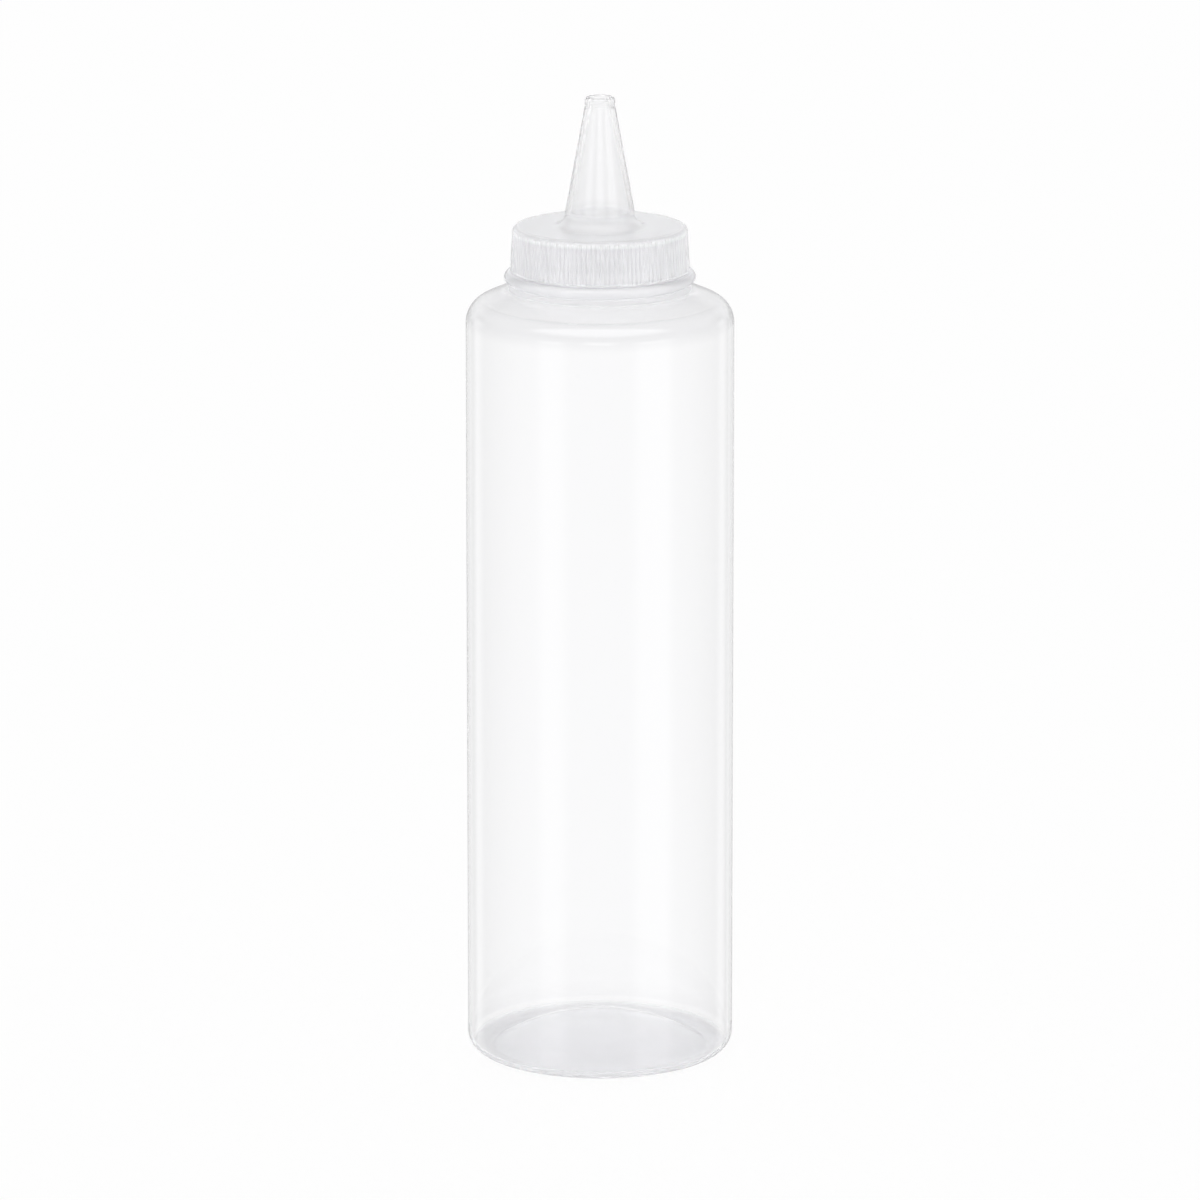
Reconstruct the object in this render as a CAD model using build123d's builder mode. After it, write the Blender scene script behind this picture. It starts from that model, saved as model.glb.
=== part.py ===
"""Squeeze sauce bottle with a screw cap that carries a cone nozzle.

Frame: +Z up, origin at the centre of the foot ring on which the bottle stands. Millimetres.
The cap is drawn screwed down, with the sealing washer held between the neck's rim and the cap.
"""

import math
import os

from build123d import *

# Bottle: base
foot_width = 1.8  # flat ring that carries the bottle
foot_round = 1.6  # rounding from the flat ring into the dome
heel_radius = 5.0
base_wall = 1.0
push_up = 8.0  # how far the middle of the base is domed inwards

# Bottle: side and shoulder
body_radius = 35.0
body_wall = 0.9
side_height = 200.8  # foot to the corner where side and shoulder would meet unrounded
shoulder_radius = 6.7
shoulder_angle = 23.0  # slope of the shoulder
shoulder_wall = 1.2

# Bottle: throat, bead and neck
throat_radius = 22.3
throat_height = 0.8
throat_round = 0.4
throat_wall = 1.2
throat_flare = 1.0  # inner roundings, from the shoulder to the neck's bore
bead_thickness = 2.8
bead_overhang = 1.6  # how far the bead stands out past the cap's lower edge
neck_radius = 19.85  # outside, between the threads
neck_wall = 1.5
rim_round = 0.35
rim_land = 0.65  # plain neck between the thread and the rim

# Screw thread, shared by neck and cap
thread_pitch = 4.23
thread_turns = 1.1
thread_depth = 1.15
thread_root_width = 2.0
thread_crest_width = 0.9
thread_clearance = 0.4  # crest to the facing wall
flank_clearance = 0.25  # cap's ridge below the neck's, along the axis
thread_sink = 0.3  # how deep a ridge is rooted in its own wall

# Cap: skirt and its grip
skirt_gap = 0.35  # lower edge to the bead
skirt_lead_in = 0.35  # plain wall below the cap's thread
skirt_wall = 1.62
skirt_taper = 0.57  # by how much the skirt's radius is smaller at the deck
skirt_edge_round = 0.25
rib_count = 120
rib_height = 0.35
groove_share = 0.5  # share of the circumference that is groove
grip_lip = 0.4  # plain band below the ribs

# Cap: deck and cone nozzle
deck_thickness = 1.5
deck_edge_round = 1.6
nozzle_base_radius = 9.74  # where the cone would meet the deck unrounded
nozzle_fillet = 3.5
nozzle_tip_radius = 4.0
nozzle_height = 31.3  # deck to the groove under the tip
nozzle_wall = 1.25
nozzle_inlet_round = 1.2

# Cap: tip
tip_groove_radius = 3.8
tip_groove_width = 0.7
tip_collar_radius = 3.97
tip_collar_height = 2.0
tip_round = 0.8
orifice_radius = 2.5
orifice_length = 3.4
orifice_round = 0.25

# Sealing washer, and the plug ring under the deck that centres it
washer_thickness = 1.0
washer_clearance = 0.3
washer_round = 0.15
plug_clearance = 0.3  # plug ring to the neck's bore
plug_wall = 1.0
plug_depth = 2.4
plug_round = 0.3

# Radii that follow
inner_radius = body_radius - body_wall
foot_radius = body_radius - heel_radius
dome_radius = foot_radius - foot_width
inner_foot_round = foot_round - base_wall
inner_heel_radius = heel_radius - body_wall
inner_shoulder_radius = shoulder_radius - body_wall
throat_bore = throat_radius - throat_wall
bore_radius = neck_radius - neck_wall
neck_crest_radius = neck_radius + thread_depth
cap_crest_radius = neck_radius + thread_clearance
skirt_bore = neck_crest_radius + thread_clearance
skirt_radius = skirt_bore + skirt_wall + rib_height
skirt_top_radius = skirt_radius - skirt_taper
bead_radius = skirt_radius + bead_overhang
bead_centre_radius = bead_radius - bead_thickness / 2
plug_outer = bore_radius - plug_clearance
plug_inner = plug_outer - plug_wall
washer_inner = plug_outer + washer_clearance
washer_outer = skirt_bore - washer_clearance

# Slopes that follow
shoulder_slope = math.tan(math.radians(shoulder_angle))
shoulder_drop = shoulder_wall / math.cos(math.radians(shoulder_angle))

# Thread heights that follow: the cap's ridge hangs under the neck's by half of both widths where
# they overlap, plus the clearance between their flanks
flank_slope = (thread_root_width - thread_crest_width) / 2 / thread_depth
thread_overlap = thread_depth - thread_clearance
thread_offset = thread_crest_width + flank_slope * thread_overlap + flank_clearance
thread_rise = thread_turns * thread_pitch

# Heights that follow, from the foot to the tip
throat_bottom = side_height + (body_radius - throat_radius) * shoulder_slope
bead_bottom = throat_bottom + throat_height
bead_top = bead_bottom + bead_thickness
skirt_bottom = bead_top + skirt_gap
cap_thread_start = skirt_bottom + skirt_lead_in + thread_root_width / 2
neck_thread_start = cap_thread_start + thread_offset
rim_top = neck_thread_start + thread_rise + thread_root_width / 2 + rim_land
deck_underside = rim_top + washer_thickness
deck_top = deck_underside + deck_thickness
tip_groove_bottom = deck_top + nozzle_height
tip_collar_bottom = tip_groove_bottom + tip_groove_width
tip_top = tip_collar_bottom + tip_collar_height
orifice_bottom = tip_top - orifice_length

# Nozzle's bore where it leaves the deck's underside, on the line of its inner cone
nozzle_slope = (nozzle_base_radius - nozzle_wall - orifice_radius) / (orifice_bottom - deck_top)
nozzle_inlet_radius = nozzle_base_radius - nozzle_wall + nozzle_slope * deck_thickness


def inner_shoulder_height(radius):
    """Height of the shoulder's inner face at a radius."""
    return side_height + (body_radius - radius) * shoulder_slope - shoulder_drop


def rounded_outline(corners):
    """Closed outline from corners, each given as (radius from the axis, height, rounding)."""
    points = [(radius, height) for radius, height, rounding in corners]
    roundings = [rounding for radius, height, rounding in corners]
    FilletPolyline(*points, radius=roundings, close=True)


def make_thread(wall_radius, crest_radius, start_height):
    """Right-hand ridge on a wall: outwards or inwards, as its crest lies."""
    outwards = math.copysign(1, crest_radius - wall_radius)
    root_radius = wall_radius - outwards * thread_sink
    crest_half = thread_crest_width / 2
    root_half = thread_root_width / 2 + flank_slope * thread_sink
    with BuildPart() as thread:
        with BuildLine() as helix:
            Helix(thread_pitch, thread_rise, wall_radius, center=(0, 0, start_height))
        with BuildSketch(Plane.XZ):
            with BuildLine():
                Polyline(
                    (root_radius, start_height - root_half),
                    (crest_radius, start_height - crest_half),
                    (crest_radius, start_height + crest_half),
                    (root_radius, start_height + root_half),
                    close=True,
                )
            make_face()
        sweep(path=helix.line, is_frenet=True)
    return thread.part


def make_groove():
    """Cutter for one grip groove: a V that leans with the skirt and runs out over its top edge."""
    half_mouth = math.pi * skirt_radius * groove_share / rib_count
    floor_radius = skirt_radius - rib_height
    with BuildPart() as groove:
        with BuildSketch(Plane.XY.offset(skirt_bottom)):
            with BuildLine():
                Polyline(
                    (floor_radius, 0),
                    (floor_radius + 2 * rib_height, 2 * half_mouth),
                    (floor_radius + 2 * rib_height, -2 * half_mouth),
                    close=True,
                )
            make_face()
        skirt_height = deck_top - skirt_bottom
        extrude(amount=math.hypot(skirt_taper, skirt_height), dir=(-skirt_taper, 0, skirt_height))
        split(bisect_by=Plane.XY.offset(skirt_bottom + grip_lip), keep=Keep.TOP)
    return groove.part


# Bottle: thin shell with a domed base, sloped shoulder, bead and threaded neck
neck_thread = make_thread(neck_radius, neck_crest_radius, neck_thread_start)

with BuildPart() as bottle:
    with BuildSketch(Plane.XZ) as outside:
        with BuildLine():
            TangentArc((0, push_up), (dome_radius, 0), tangent=(1, 0))
            FilletPolyline(
                (dome_radius, 0),
                (body_radius, 0),
                (body_radius, side_height),
                (throat_radius, throat_bottom),
                (throat_radius, bead_bottom),
                radius=(heel_radius, shoulder_radius, throat_round),
            )
            Polyline(
                (throat_radius, bead_bottom),
                (bead_centre_radius, bead_bottom),
                (bead_centre_radius, bead_top),
                (neck_radius, bead_top),
                (neck_radius, rim_top),
                (0, rim_top),
                (0, push_up),
            )
        make_face()
        with Locations((bead_centre_radius, (bead_bottom + bead_top) / 2)):
            Circle(bead_thickness / 2)
        fillet(outside.vertices().sort_by_distance((dome_radius, 0))[0], foot_round)
    revolve(axis=Axis.Z)
    with BuildSketch(Plane.XZ) as inside:
        with BuildLine():
            TangentArc((0, push_up + base_wall), (dome_radius, base_wall), tangent=(1, 0))
            FilletPolyline(
                (dome_radius, base_wall),
                (inner_radius, base_wall),
                (inner_radius, inner_shoulder_height(inner_radius)),
                (throat_bore, inner_shoulder_height(throat_bore)),
                (throat_bore, bead_top - throat_wall),
                (bore_radius, bead_top - throat_wall),
                (bore_radius, rim_top),
                radius=(inner_heel_radius, inner_shoulder_radius, *3 * (throat_flare,)),
            )
            Polyline((bore_radius, rim_top), (0, rim_top), (0, push_up + base_wall))
        make_face()
        fillet(inside.vertices().sort_by_distance((dome_radius, base_wall))[0], inner_foot_round)
    revolve(axis=Axis.Z, mode=Mode.SUBTRACT)
    fillet(bottle.faces().sort_by(Axis.Z)[-1].edges(), rim_round)
    add(neck_thread)

# Cap: ribbed skirt, deck, plug ring and cone nozzle in one moulding
cap_thread = make_thread(skirt_bore, cap_crest_radius, cap_thread_start)
groove = make_groove()

with BuildPart() as cap:
    with BuildSketch(Plane.XZ):
        with BuildLine():
            rounded_outline(
                [
                    (skirt_bore, skirt_bottom, skirt_edge_round),
                    (skirt_radius, skirt_bottom, skirt_edge_round),
                    (skirt_top_radius, deck_top, deck_edge_round),
                    (nozzle_base_radius, deck_top, nozzle_fillet),
                    (nozzle_tip_radius, tip_groove_bottom, 0),
                    (tip_groove_radius, (tip_groove_bottom + tip_collar_bottom) / 2, 0),
                    (tip_collar_radius, tip_collar_bottom, 0),
                    (tip_collar_radius, tip_top, tip_round),
                    (orifice_radius, tip_top, orifice_round),
                    (orifice_radius, orifice_bottom, 0),
                    (nozzle_inlet_radius, deck_underside, nozzle_inlet_round),
                    (plug_inner, deck_underside, plug_round),
                    (plug_inner, deck_underside - plug_depth, plug_round),
                    (plug_outer, deck_underside - plug_depth, plug_round),
                    (plug_outer, deck_underside, 0),
                    (skirt_bore, deck_underside, 0),
                ]
            )
        make_face()
    revolve(axis=Axis.Z)
    with PolarLocations(0, rib_count):
        add(groove, mode=Mode.SUBTRACT)
    add(cap_thread)

# Sealing washer: flat ring clamped between the neck's rim and the deck
with BuildPart() as sealing_washer:
    with BuildSketch(Plane.XY.offset(rim_top)):
        Circle(washer_outer)
        Circle(washer_inner, mode=Mode.SUBTRACT)
    extrude(amount=washer_thickness)
    fillet(sealing_washer.edges(), washer_round)

os.makedirs("parts", exist_ok=True)

bottle.part.label = "bottle"
export_step(bottle.part, "parts/bottle.step")

cap.part.label = "cap"
export_step(cap.part, "parts/cap.step")

sealing_washer.part.label = "sealing_washer"
export_step(sealing_washer.part, "parts/sealing_washer.step")

print(f"overall height {tip_top:.1f}, deck {deck_top:.1f}, rim {rim_top:.1f}, bead top {bead_top:.1f}")
print(f"skirt radius {skirt_radius:.2f}, bead radius {bead_radius:.2f}")
print(f"cap rises {thread_pitch} a turn, {thread_pitch / 1000 / (2 * math.pi):.7f} metres a radian")
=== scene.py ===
import bpy
import math
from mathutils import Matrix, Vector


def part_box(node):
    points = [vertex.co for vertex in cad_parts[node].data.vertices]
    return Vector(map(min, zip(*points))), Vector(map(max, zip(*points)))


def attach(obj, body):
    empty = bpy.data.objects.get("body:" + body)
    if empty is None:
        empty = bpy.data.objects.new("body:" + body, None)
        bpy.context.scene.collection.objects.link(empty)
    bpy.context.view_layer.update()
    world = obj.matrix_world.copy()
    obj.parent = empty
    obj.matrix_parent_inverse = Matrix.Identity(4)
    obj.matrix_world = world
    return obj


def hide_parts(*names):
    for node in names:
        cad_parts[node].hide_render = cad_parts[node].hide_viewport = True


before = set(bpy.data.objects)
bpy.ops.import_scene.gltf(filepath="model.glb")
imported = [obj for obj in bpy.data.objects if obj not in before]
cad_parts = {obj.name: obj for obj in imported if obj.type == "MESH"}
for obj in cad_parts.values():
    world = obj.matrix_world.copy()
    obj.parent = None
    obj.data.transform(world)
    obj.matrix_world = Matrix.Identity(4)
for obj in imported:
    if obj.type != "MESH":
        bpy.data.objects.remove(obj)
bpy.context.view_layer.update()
print("frame loaded:", sorted(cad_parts))


class Wire:  # an output socket that can be used in plain maths
    def __init__(self, shader, socket):
        self.shader = shader
        self.socket = socket

    def do(self, operation, a, b=0.0, c=0.0):
        return self.shader.node("ShaderNodeMath", {"operation": operation}, {0: a, 1: b, 2: c})

    def __add__(self, other):
        return self.do("ADD", self, other)

    def __radd__(self, other):
        return self.do("ADD", other, self)

    def __sub__(self, other):
        return self.do("SUBTRACT", self, other)

    def __rsub__(self, other):
        return self.do("SUBTRACT", other, self)

    def __mul__(self, other):
        return self.do("MULTIPLY", self, other)

    def __rmul__(self, other):
        return self.do("MULTIPLY", other, self)

    def __truediv__(self, other):
        return self.do("DIVIDE", self, other)

    def __rtruediv__(self, other):
        return self.do("DIVIDE", other, self)

    def __neg__(self):
        return self.do("MULTIPLY", self, -1.0)

    def __abs__(self):
        return self.do("ABSOLUTE", self)

    def __gt__(self, other):
        return self.do("GREATER_THAN", self, other)

    def most(self, other):
        return self.do("MAXIMUM", self, other)

    def least(self, other):
        return self.do("MINIMUM", self, other)

    def root(self):
        return self.do("SQRT", self)


class Shader:  # the node tree of a material or of the world
    def __init__(self, owner):
        owner.use_nodes = True
        self.tree = owner.node_tree
        self.tree.nodes.clear()

    def node(self, kind, settings=None, inputs=None, out=0):
        made = self.tree.nodes.new(kind)
        for key, value in (settings or {}).items():
            setattr(made, key, value)
        for key, value in (inputs or {}).items():
            if isinstance(value, Wire):
                self.tree.links.new(value.socket, made.inputs[key])
            else:
                made.inputs[key].default_value = value
        return Wire(self, made.outputs[out])

    def output(self, wire, out):  # another output of the node that the wire comes from
        return Wire(self, wire.socket.node.outputs[out])

    def mixColour(self, factor, a, b):
        return self.node("ShaderNodeMix", {"data_type": "RGBA"}, {0: factor, 6: a, 7: b}, out=2)

    def mixShaders(self, factor, a, b):
        return self.node("ShaderNodeMixShader", {}, {0: factor, 1: a, 2: b})

    def ramp(self, value, fromLow, fromHigh, toLow=0.0, toHigh=1.0):
        inputs = {0: value, 1: fromLow, 2: fromHigh, 3: toLow, 4: toHigh}
        return self.node("ShaderNodeMapRange", {"interpolation_type": "SMOOTHSTEP"}, inputs)

    def fall(self, value, fromLow, fromHigh):  # 1 below, 0 above
        return self.ramp(value, fromLow, fromHigh, 1.0, 0.0)

    def stretched(self, place, scale):  # the place, scaled along each axis
        return self.vector("MULTIPLY", place, scale)

    def noise(self, place, scale, detail, rough=0.5):
        inputs = {"Vector": place, "Scale": scale, "Detail": detail, "Roughness": rough}
        return self.node("ShaderNodeTexNoise", {}, inputs)

    def vector(self, operation, a, b):
        return self.node("ShaderNodeVectorMath", {"operation": operation}, {0: a, 1: b})

    def scaled(self, vector, scale):
        return self.node("ShaderNodeVectorMath", {"operation": "SCALE"}, {0: vector, "Scale": scale})

    def dot(self, a, b):
        return self.output(self.vector("DOT_PRODUCT", a, b), 1)

    # Lights the faces of a turned shape as one smooth surface. Where the share is 1, the normal points
    # straight out from the upright axis. On a rounding it follows the rounding's circle, whose centre
    # lies a distance in from the outer radius and up from the level.
    def turnedNormal(self, spot, share, outer, level, roundings):
        place, x, y, z, radius = spot
        normal = self.node("ShaderNodeTexCoord", {}, {}, out=1)
        along = self.node("ShaderNodeCombineXYZ", {}, {0: -y / radius, 1: x / radius})
        normal = self.vector("SUBTRACT", normal, self.scaled(along, self.dot(normal, along) * share))
        for s in roundings:
            angle = z.do("ARCTAN2", z - (level + s["up"]), radius - (outer - s["in"]))
            angle = angle.most(math.radians(s["angles"][0])).least(math.radians(s["angles"][1]))
            out = angle.do("COSINE", angle) / radius
            arc = self.node("ShaderNodeCombineXYZ", {}, {0: x * out, 1: y * out, 2: angle.do("SINE", angle)})
            side = self.dot(normal, arc)
            arc = self.scaled(arc, side.do("SIGN", side))
            low, high = s["heights"]
            covered = (radius > outer - s["depth"]) * (z > level + low) * (1 - (z > level + high))
            inputs = {0: covered, 4: normal, 5: arc}
            normal = self.node("ShaderNodeMix", {"data_type": "VECTOR"}, inputs, out=1)
        settings = {"vector_type": "NORMAL", "convert_from": "OBJECT", "convert_to": "WORLD"}
        return self.node("ShaderNodeVectorTransform", settings, {0: normal})

    def bump(self, height, distance, normal=None):
        inputs = {"Height": height, "Distance": distance, "Strength": 1.0}
        if normal:
            inputs["Normal"] = normal
        return self.node("ShaderNodeBump", {}, inputs)

    def where(self):  # the place on the object, its parts, and how far it is from the upright axis
        place = self.node("ShaderNodeTexCoord", {}, {}, out=3)
        x = self.node("ShaderNodeSeparateXYZ", {}, {0: place})
        y = self.output(x, 1)
        return place, x, y, self.output(x, 2), (x * x + y * y).root()

    def finish(self, surface, kind="ShaderNodeOutputMaterial"):
        made = self.tree.nodes.new(kind)
        self.tree.links.new(surface.socket, made.inputs["Surface"])


def grey(value, cool=0.0):
    return (value * (1 - cool), value * (1 - cool), value, 1.0)


camera = {
    "lens": 274.5,
    "sensor": 36.0,
    "place": (0.0, -2.3346, 0.6846),
    "aimHeight": 0.1217,  # where the view's axis meets the bottle's
    "farthest": 100.0,
}


def makeCamera(s):
    data = bpy.data.cameras.new("camera")
    data.lens = s["lens"]
    data.sensor_width = s["sensor"]
    data.clip_end = s["farthest"]
    made = bpy.data.objects.new("camera", data)
    bpy.context.scene.collection.objects.link(made)
    made.location = s["place"]
    drop = math.atan2(s["place"][2] - s["aimHeight"], -s["place"][1])
    made.rotation_euler = (math.pi / 2 - drop, 0.0, 0.0)
    bpy.context.scene.camera = made


makeCamera(camera)
print("camera placed")


# The plastic shows a plain white backdrop through it, and mirrors a room of soft panels.
# Turns are in degrees from the front, to the right. Heights are the upward part of a direction.
studio = {
    "backdrop": 1.0,  # seen directly and through the plastic
    "ambient": 0.97,  # lights the surfaces
    "coolness": 0.012,
    "sideWall": 0.15,
    "frontWall": 0.86,
    "frontTurns": (50.0, 110.0),
    "backWall": 0.62,
    "backTurns": (135.0, 150.0),
    "backGlow": 0.95,  # behind, mirrored in the cap's deck
    "glowHeights": (0.0, 0.12),
    "highWall": 0.46,
    "highHeights": (0.3, 0.5),
    "overhead": 3.0,  # above the camera
    "overheadHeights": (0.55, 0.8),
    "overheadDepths": (-0.25, -0.05),
    "panels": [(47.0, 16.0, 1.0), (-42.0, 11.0, 1.0), (131.0, 7.0, 0.45), (-131.0, 7.0, 0.45)],
    "panelSoftness": 6.0,  # each panel is its turn, half width and strength
    "panelLight": 1.6,
    "panelHeights": (0.12, 0.27),
    "hotLight": 2.6,  # upper part of the panels
    "hotHeights": (0.0, 0.15),
    "frontPanel": (7.0, 19.0),  # half widths, full and none, of one more panel above the camera
    "frontLow": (0.06, 0.12),
    "frontHigh": (0.24, 0.32),
    "ground": 0.55,
    "groundHeights": (-0.75, -0.5),
}


def makeWorld(s):
    world = bpy.data.worlds.new("studio")
    bpy.context.scene.world = world
    world.cycles.sampling_method = "NONE"  # the room is even, so rays find it without aiming
    w = Shader(world)
    path = w.node("ShaderNodeLightPath")
    x = w.node("ShaderNodeSeparateXYZ", {}, {0: w.node("ShaderNodeTexCoord")})
    y = w.output(x, 1)
    z = w.output(x, 2)
    turn = x.do("ARCTAN2", x, -y)

    def shade(name):
        return grey(s[name], s["coolness"])

    def turned(away, near, far, strength=1.0):
        return w.ramp(away, math.radians(near), math.radians(far), strength, 0.0)

    front = turned(abs(turn), *s["frontTurns"])
    back = 1 - turned(abs(turn), *s["backTurns"])
    wall = w.mixColour(front, shade("sideWall"), shade("frontWall"))
    wall = w.mixColour(back, wall, shade("backWall"))
    wall = w.mixColour(back * w.ramp(z, *s["glowHeights"]), wall, shade("backGlow"))
    wall = w.mixColour(w.ramp(z, *s["highHeights"]), wall, shade("highWall"))
    over = w.ramp(z, *s["overheadHeights"]) * w.fall(y, *s["overheadDepths"])
    wall = w.mixColour(over, wall, shade("overhead"))
    panels = 0.0
    for place, half, strength in s["panels"]:
        away = abs(turn - math.radians(place))
        panels = turned(away, half - s["panelSoftness"], half + s["panelSoftness"], strength) + panels
    panels = panels * w.fall(z, *s["panelHeights"])
    light = w.mixColour(w.ramp(z, *s["hotHeights"]), grey(s["panelLight"]), grey(s["hotLight"]))
    middle = turned(abs(turn), *s["frontPanel"]) * w.ramp(z, *s["frontLow"]) * w.fall(z, *s["frontHigh"])
    room = w.mixColour(panels, wall, light)
    room = w.mixColour(middle, room, grey(s["hotLight"]))
    room = w.mixColour(w.fall(z, *s["groundHeights"]), room, grey(s["ground"]))

    def after(event):  # 1 once the light's path has had one
        return w.output(path, event + " Depth") > 0.5

    outside = 1 - after("Transmission")  # a mirror image within the plastic is the backdrop
    seen = w.mixColour(after("Glossy") * outside, grey(s["backdrop"]), room)
    seen = w.mixColour(after("Diffuse"), seen, grey(s["ambient"]))
    w.finish(w.node("ShaderNodeBackground", {}, {0: seen, 1: 1.0}), "ShaderNodeOutputWorld")


floorLook = {
    "size": 12.0,
    "drop": 0.0002,
    "colour": 0.93,
    "glow": 1.0,
    "shadowShare": 0.1,
}


def makeFloor(s):
    half = s["size"] / 2
    mesh = bpy.data.meshes.new("floor")
    corners = [(-half, -half), (half, -half), (half, half), (-half, half)]
    mesh.from_pydata([(x, y, -s["drop"]) for x, y in corners], [], [(0, 1, 2, 3)])
    floor = bpy.data.objects.new("floor", mesh)
    bpy.context.scene.collection.objects.link(floor)
    floor.visible_glossy = False
    material = bpy.data.materials.new("pale_floor")
    m = Shader(material)
    path = m.node("ShaderNodeLightPath")
    matt = m.node("ShaderNodeBsdfDiffuse", {}, {0: grey(s["colour"])})
    glow = m.node("ShaderNodeEmission", {}, {0: grey(s["glow"]), 1: 1.0})
    shown = m.mixShaders(s["shadowShare"], glow, matt)
    m.finish(m.mixShaders(m.output(path, "Is Diffuse Ray"), shown, matt))
    mesh.materials.append(material)


lightPaths = {
    "bounces": 48,  # light crosses many walls of the bottle and the cap
    "blurGlossy": 0.0,  # keeps the light that milky and clear plastic pass between them
}


def setLightPaths(s):
    cycles = bpy.context.scene.cycles
    cycles.max_bounces = s["bounces"]
    cycles.transmission_bounces = s["bounces"]
    cycles.glossy_bounces = s["bounces"]
    cycles.diffuse_bounces = s["bounces"]
    cycles.blur_glossy = s["blurGlossy"]


makeWorld(studio)
makeFloor(floorLook)
setLightPaths(lightPaths)
print("studio lit")


def clearPlastic(m, look, colour, roughness, normal):
    inputs = {
        "Base Color": colour,
        "Roughness": roughness,
        "IOR": look["ior"],
        "Transmission Weight": 1.0,
        "Normal": normal,
    }
    return m.node("ShaderNodeBsdfPrincipled", {}, inputs)


def milkyPlastic(m, look, colour, roughness, normal):  # light is scattered back and passed on, under a gloss
    back = m.node("ShaderNodeBsdfDiffuse", {}, {"Color": colour, "Normal": normal})
    through = m.node("ShaderNodeBsdfTranslucent", {}, {"Color": colour, "Normal": normal})
    white = m.mixShaders(look["throughShare"], back, through)
    inputs = {"Color": grey(1.0), "Roughness": roughness, "Normal": normal}
    gloss = m.node("ShaderNodeBsdfGlossy", {}, inputs)
    fresnel = m.node("ShaderNodeFresnel", {}, {"IOR": look["ior"], "Normal": normal})
    geometry = m.node("ShaderNodeNewGeometry")
    return m.mixShaders(fresnel * (1 - m.output(geometry, "Backfacing")), white, gloss)


# Clear squeezable wall, hazier where it is thick: the neck, the foot and the base. The base's haze is darker:
# painted shade under the bottle.
bottleLook = {
    "ior": 1.49,
    "throughShare": 0.5,
    "clear": (0.986, 0.986, 0.989, 1.0),
    "darkerClear": (0.9, 0.9, 0.908, 1.0),  # darker on the shoulder, and painted shade under the bottle on the base
    "milk": (0.945, 0.945, 0.957, 1.0),
    # painted shade: the base's milk is darker, for the shadowed floor under the bottle seen through it
    "shadedBaseMilk": (0.84, 0.84, 0.853, 1.0),
    "milkShare": 0.003,
    "cloud": (70.0, 3.0),  # scale and detail of the uneven haze
    "cloudStretch": (1.0, 1.0, 0.35),
    "mottle": 0.5,
    "shoulderHeights": (0.1945, 0.199),
    "neckHeights": (0.2045, 0.206),
    "neckShare": 0.5,
    "neckRoughness": 0.08,
    "footHeights": (0.004, 0.009),
    "footShare": 0.1,
    "baseHeights": (0.012, 0.013),
    "baseRadii": (0.0325, 0.0338),
    "baseShare": 0.5,
    "roughness": 0.022,
    "polish": (160.0, 4.0),  # scale and detail of the uneven polish
    "polishRange": (0.6, 1.4),
    "scuff": (380.0, 4.0, 0.7),
    "scuffStretch": (1.0, 1.0, 2.5),
    "scuffLevels": (0.5, 0.7),
    "wearHeights": (0.0008, 0.003),  # where the foot has rubbed
    "wearShare": 0.1,
    "wearRoughness": 0.12,
    "waves": (45.0, 1.0),
    "waveStretch": (1.0, 1.0, 0.2),
    "waveDepth": 0.00001,
    "footLevel": 0.0,
    "roundings": [  # shoulder, bead and heel
        {"in": 0.0067, "up": 0.196365, "angles": (0.0, 67.0), "depth": 0.0115, "heights": (0.1, 0.2062)},
        {"in": 0.01143, "up": 0.2084, "angles": (-90.0, 90.0), "depth": 0.0114, "heights": (0.2068, 0.21)},
        {"in": 0.005, "up": 0.005, "angles": (-90.0, 0.0), "depth": 0.005, "heights": (-0.001, 0.1)},
    ],
}


def makeBottlePlastic(look):
    material = bpy.data.materials.new("clear_bottle_plastic")
    m = Shader(material)
    spot = m.where()
    place, x, y, z, radius = spot
    neck = m.ramp(z, *look["neckHeights"])
    shoulder = m.ramp(z, *look["shoulderHeights"])
    foot = m.fall(z, *look["footHeights"])
    base = m.fall(z, *look["baseHeights"]) * m.fall(radius, *look["baseRadii"])
    cloud = m.noise(m.stretched(place, look["cloudStretch"]), *look["cloud"])
    scuffs = m.ramp(m.noise(m.stretched(place, look["scuffStretch"]), *look["scuff"]), *look["scuffLevels"])
    worn = scuffs * m.fall(z, *look["wearHeights"])
    share = look["milkShare"] * (1 - look["mottle"] + 2 * look["mottle"] * cloud)
    share = share + neck * look["neckShare"] + foot * look["footShare"] + base * look["baseShare"]
    share = share + worn * look["wearShare"]
    least, most = look["polishRange"]
    roughness = look["roughness"] * (least + (most - least) * m.noise(place, *look["polish"]))
    roughness = roughness + shoulder * look["neckRoughness"] + worn * look["wearRoughness"]
    waves = m.noise(m.stretched(place, look["waveStretch"]), *look["waves"])
    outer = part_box("bottle")[1].x
    turned = m.turnedNormal(spot, 1 - neck, outer, look["footLevel"], look["roundings"])
    normal = m.bump(waves, look["waveDepth"], turned)
    # darker tint on the shoulder; on the base it is painted shade under the bottle
    tint = m.mixColour(base.most(shoulder * (1 - neck)), look["clear"], look["darkerClear"])
    clear = clearPlastic(m, look, tint, roughness, normal)
    milk = milkyPlastic(m, look, look["milk"], roughness, normal)
    # the base's darker milk is painted shade under the bottle
    shadedBaseMilk = milkyPlastic(m, look, look["shadedBaseMilk"], roughness, normal)
    m.finish(m.mixShaders(share, clear, m.mixShaders(base, milk, shadedBaseMilk)))
    return material


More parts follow.
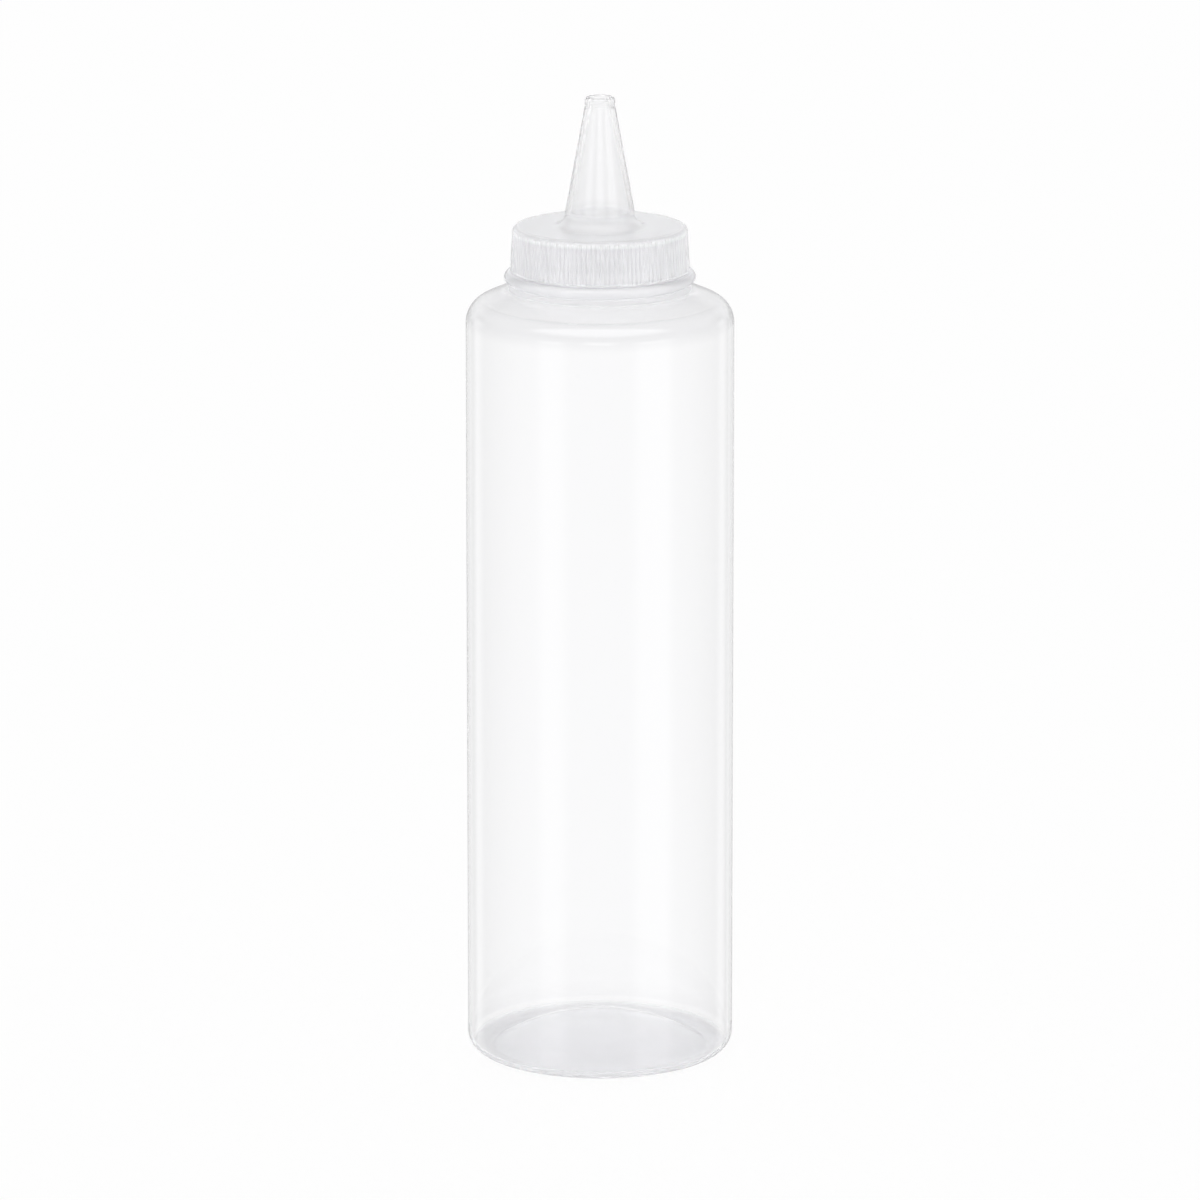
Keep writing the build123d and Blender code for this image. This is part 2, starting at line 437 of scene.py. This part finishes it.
# Milky moulded skirt and deck, and a clearer nozzle.
capLook = {
    "ior": 1.49,
    "throughShare": 0.4,
    "clear": (0.956, 0.956, 0.96, 1.0),
    "milk": (0.966, 0.966, 0.973, 1.0),
    "milkShare": 0.35,
    "deckThickness": 0.0015,
    "deckShare": 0.2,  # more milk in the deck
    "sideInset": (0.0018, 0.0012),  # from the cap's outer radius
    "nozzleShare": 0.1,
    "nozzleRise": (0.001, 0.0055),  # above the deck
    "streaks": (9.0, 3.0),  # flow marks of the moulding
    "streakRise": 2.0,
    "streakShare": 0.1,
    "cornerInset": (0.0024, 0.0014),  # the deck's outer corner, where more milk paints a highlight line
    "cornerDrop": (0.0022, 0.0006),
    "lipRise": (0.00025, 0.00075),  # the skirt's lower edge, where more milk paints a highlight line
    "edgeHighlightShare": 0.2,
    "roughness": 0.16,
    "nozzleRoughness": 0.17,
    "polish": (500.0, 3.0),
    "polishRange": (0.85, 1.15),
    "scuff": (700.0, 4.0, 0.7),
    "scuffLevels": (0.5, 0.7),
    "rimInset": (0.0016, 0.0008),
    "rimDrop": (0.001, 0.0002),
    "tipDrop": (0.0008, 0.0002),
    "wearShare": 0.15,
    "wearRoughness": 0.01,
    "grain": (900.0, 2.0),
    "grainDepth": 0.0000005,
    "roundings": [  # the deck's outer edge, above the ribs' grooves
        {"in": 0.002077, "up": -0.0016, "angles": (0.0, 90.0), "depth": 0.00286, "heights": (-0.0004, 0.001)},
    ],
}


def makeCapPlastic(look):
    material = bpy.data.materials.new("milky_cap_plastic")
    m = Shader(material)
    spot = m.where()
    place, x, y, z, radius = spot
    low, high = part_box("cap")
    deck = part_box("sealing_washer")[1].z + look["deckThickness"]

    def below(level, drops):
        return m.ramp(z, level - drops[0], level - drops[1])

    def inside(insets):
        return m.ramp(radius, high.x - insets[0], high.x - insets[1])

    side = inside(look["sideInset"])
    nozzle = m.ramp(z, deck + look["nozzleRise"][0], deck + look["nozzleRise"][1])
    corner = inside(look["cornerInset"]) * below(deck, look["cornerDrop"])
    lip = m.fall(z, low.z + look["lipRise"][0], low.z + look["lipRise"][1])
    rim = inside(look["rimInset"]) * below(deck, look["rimDrop"])
    tip = below(high.z, look["tipDrop"])
    flow = {0: x / radius, 1: y / radius, 2: z * look["streakRise"]}  # one streak for each direction
    streaks = m.noise(m.node("ShaderNodeCombineXYZ", {}, flow), *look["streaks"]) * 2 - 1
    worn = m.ramp(m.noise(place, *look["scuff"]), *look["scuffLevels"]) * rim.most(tip)
    share = look["milkShare"] + nozzle * (look["nozzleShare"] - look["milkShare"])
    share = share + (1 - side) * (1 - nozzle) * look["deckShare"]
    share = share * (1 + look["streakShare"] * streaks * side.most(nozzle))
    # more milk on the deck's corner and the skirt's lip: painted highlight lines
    share = share + corner.most(lip) * look["edgeHighlightShare"] + worn * look["wearShare"]
    least, most = look["polishRange"]
    roughness = look["roughness"] + nozzle * (look["nozzleRoughness"] - look["roughness"])
    roughness = roughness + worn * look["wearRoughness"]
    roughness = roughness * (least + (most - least) * m.noise(place, *look["polish"]))
    turned = m.turnedNormal(spot, nozzle, high.x, deck, look["roundings"])
    normal = m.bump(m.noise(place, *look["grain"]), look["grainDepth"], turned)
    clear = clearPlastic(m, look, look["clear"], roughness, normal)
    m.finish(m.mixShaders(share, clear, milkyPlastic(m, look, look["milk"], roughness, normal)))
    return material


bottlePlastic = makeBottlePlastic(bottleLook)
capPlastic = makeCapPlastic(capLook)
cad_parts["bottle"].material_slots[0].material = bottlePlastic
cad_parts["cap"].material_slots[0].material = capPlastic
print("bottle and cap finished")


# A soft ring, a hair clear of the deck and of the rim, so that no two faces lie in one place.
washerLook = {
    "gap": 0.0001,
    "edge": 0.00015,  # radius of its rounded corners
    "edgeSteps": 4,
    "steps": 160,
    "ior": 1.45,
    "throughShare": 0.4,
    "milk": (0.975, 0.975, 0.98, 1.0),
    "roughness": 0.5,
    "grain": (1500.0, 3.0),
    "grainDepth": 0.00001,
}


def makeWasherRubber(look):
    material = bpy.data.materials.new("soft_washer_rubber")
    m = Shader(material)
    place = m.node("ShaderNodeTexCoord", {}, {}, out=3)
    normal = m.bump(m.noise(place, *look["grain"]), look["grainDepth"])
    m.finish(milkyPlastic(m, look, look["milk"], look["roughness"], normal))
    return material


def makeWasher(look):
    low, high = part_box("sealing_washer")
    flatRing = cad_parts["sealing_washer"].data.vertices
    inset = look["gap"] + look["edge"]
    inner = min(math.hypot(v.co.x, v.co.y) for v in flatRing) + inset
    outer = high.x - inset
    bottom = low.z + inset
    top = high.z - inset
    corners = ((outer, top, 0), (inner, top, 90), (inner, bottom, 180), (outer, bottom, 270))
    profile = []
    for radius, height, start in corners:  # each corner turns a quarter from its start
        for step in range(look["edgeSteps"] + 1):
            angle = math.radians(start + 90 * step / look["edgeSteps"])
            profile.append((radius + look["edge"] * math.cos(angle), height + look["edge"] * math.sin(angle)))
    count = len(profile)
    verts = []
    faces = []
    for turn in range(look["steps"]):
        angle = 2 * math.pi * turn / look["steps"]
        verts += [(radius * math.cos(angle), radius * math.sin(angle), height) for radius, height in profile]
        here = turn * count
        after = (turn + 1) % look["steps"] * count
        for step in range(count):
            onward = (step + 1) % count
            faces.append((here + step, after + step, after + onward, here + onward))
    mesh = bpy.data.meshes.new("washer_ring")
    mesh.from_pydata(verts, [], faces)
    mesh.polygons.foreach_set("use_smooth", [True] * len(faces))
    mesh.update()
    mesh.materials.append(makeWasherRubber(look))
    ring = bpy.data.objects.new("washer_ring", mesh)
    bpy.context.scene.collection.objects.link(ring)
    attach(ring, "washer")
    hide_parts("sealing_washer")


makeWasher(washerLook)
print("washer made")

bpy.context.scene.view_settings.view_transform = "Standard"
